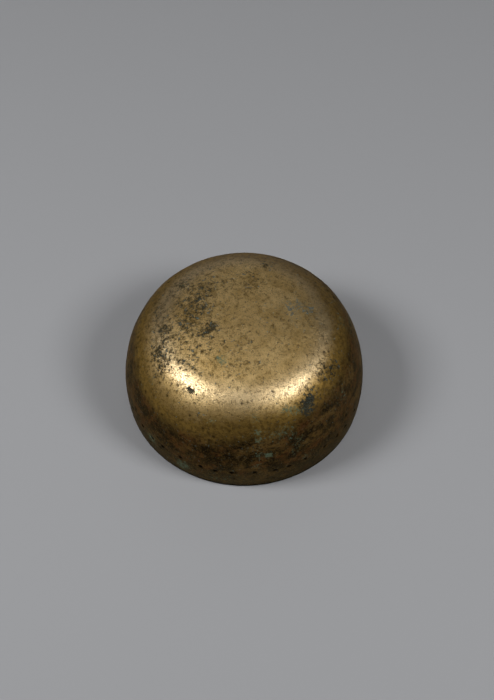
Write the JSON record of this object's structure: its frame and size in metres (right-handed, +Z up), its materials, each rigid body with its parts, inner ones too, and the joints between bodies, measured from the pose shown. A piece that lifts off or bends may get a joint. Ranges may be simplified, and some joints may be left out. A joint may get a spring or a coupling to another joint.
{
  "type": "singing bowl",
  "caption": "Hammered bronze singing bowl, mouth down: nearly flat crown, wide rounded shoulder, wall that turns in to a thick flat rim, and a row of small punch marks round the wall.",
  "frame": {"origin": "centre of the rim circle, on the plane that the rim stands on", "axes": "+Z up the bowl's axis through the crown (mouth faces -Z); -Y is the side that faces the viewer, +X to the viewer's right"},
  "size_m": [0.14, 0.14, 0.0708],
  "materials": {
    "bronze": "aged bell bronze, worn satin on crown and shoulder, dark pitted patina with verdigris on the wall"
  },
  "bodies": {
    "root": {"bowl": "bronze"}
  },
  "joints": []
}
